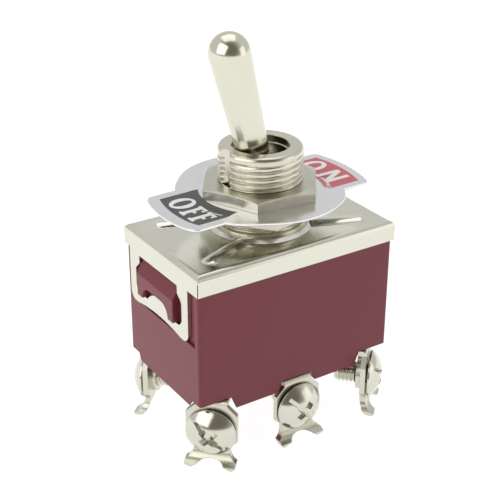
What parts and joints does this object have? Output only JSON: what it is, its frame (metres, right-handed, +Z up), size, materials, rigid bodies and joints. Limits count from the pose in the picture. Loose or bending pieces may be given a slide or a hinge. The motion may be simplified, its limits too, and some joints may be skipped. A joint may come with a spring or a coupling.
{
  "type": "panel toggle switch",
  "caption": "Two-pole on-off panel toggle switch with a bat handle, threaded bushing, nuts, ON-OFF plate, strapped steel cover, moulded base and screw terminals.",
  "frame": {"origin": "on the bushing's axis, level with the feet of the terminals", "axes": "+Z up along the bushing, +X to the ON side, +Y to the rear pole"},
  "size_m": [0.0354, 0.0256, 0.0595],
  "materials": {
    "phenolic": "satin moulded",
    "nickel_sheet": "bright nickel plate",
    "nickel_turned": "turned, nickel plated",
    "nickel_polished": "polished nickel plate",
    "aluminium_plate": "satin, printed",
    "pin_steel": "drawn",
    "spring_steel": "drawn wire",
    "block_plastic": "moulded",
    "plunger_plastic": "moulded",
    "rocker_brass": "rolled strip",
    "contact_silver": "satin silver"
  },
  "bodies": {
    "housing": {"base_housing": "phenolic", "top_cover": "nickel_sheet", "bushing": "nickel_turned", "lower_nut": "nickel_turned", "lock_washer": "nickel_sheet", "nameplate": "aluminium_plate", "upper_nut": "nickel_turned", "pivot_pin": "pin_steel", "fixed_contact_front_off": "contact_silver", "fixed_contact_front_on": "contact_silver", "fixed_contact_rear_off": "contact_silver", "fixed_contact_rear_on": "contact_silver", "middle_terminal_front": "nickel_sheet", "middle_terminal_rear": "nickel_sheet", "corner_terminal_front_off": "nickel_sheet", "corner_terminal_front_on": "nickel_sheet", "corner_terminal_rear_off": "nickel_sheet", "corner_terminal_rear_on": "nickel_sheet", "middle_screw_front": "nickel_turned", "middle_screw_rear": "nickel_turned", "corner_screw_front_off": "nickel_turned", "corner_screw_front_on": "nickel_turned", "corner_screw_rear_off": "nickel_turned", "corner_screw_rear_on": "nickel_turned"},
    "lever": {"toggle_lever": "nickel_polished", "actuator_block": "block_plastic", "spring_front": "spring_steel", "spring_rear": "spring_steel"},
    "plunger_front": {"plunger_front": "plunger_plastic"},
    "plunger_rear": {"plunger_rear": "plunger_plastic"},
    "rocker_front": {"rocker_front": "rocker_brass", "moving_contact_front_off": "contact_silver", "moving_contact_front_on": "contact_silver"},
    "rocker_rear": {"rocker_rear": "rocker_brass", "moving_contact_rear_off": "contact_silver", "moving_contact_rear_on": "contact_silver"}
  },
  "joints": [
    {"name": "lever_tilt", "type": "hinge", "parent": "housing", "child": "lever", "pos_m": [0, 0, 0.0373], "axis": [0, 1, 0], "range_deg": [0, 29]},
    {"name": "plunger_front_slide", "type": "slide", "parent": "lever", "child": "plunger_front", "axis": [-0.2504, 0, 0.9681], "range_m": [0, 0.001], "stiffness_N_per_m": 400, "springref_m": -0.0015, "deforming": ["spring_front"]},
    {"name": "rocker_front_tilt", "type": "hinge", "parent": "housing", "child": "rocker_front", "pos_m": [0, -0.00405, 0.0148], "axis": [0, 1, 0], "range_deg": [-16.01, 0]},
    {"name": "plunger_rear_slide", "type": "slide", "parent": "lever", "child": "plunger_rear", "axis": [-0.2504, 0, 0.9681], "range_m": [0, 0.001], "stiffness_N_per_m": 400, "springref_m": -0.0015, "deforming": ["spring_rear"]},
    {"name": "rocker_rear_tilt", "type": "hinge", "parent": "housing", "child": "rocker_rear", "pos_m": [0, 0.00405, 0.0148], "axis": [0, 1, 0], "range_deg": [-16.01, 0]}
  ],
  "couplings": [
    {"joint": "rocker_front_tilt", "follows": "lever_tilt", "ratio": -0.55172},
    {"joint": "rocker_rear_tilt", "follows": "lever_tilt", "ratio": -0.55172}
  ]
}
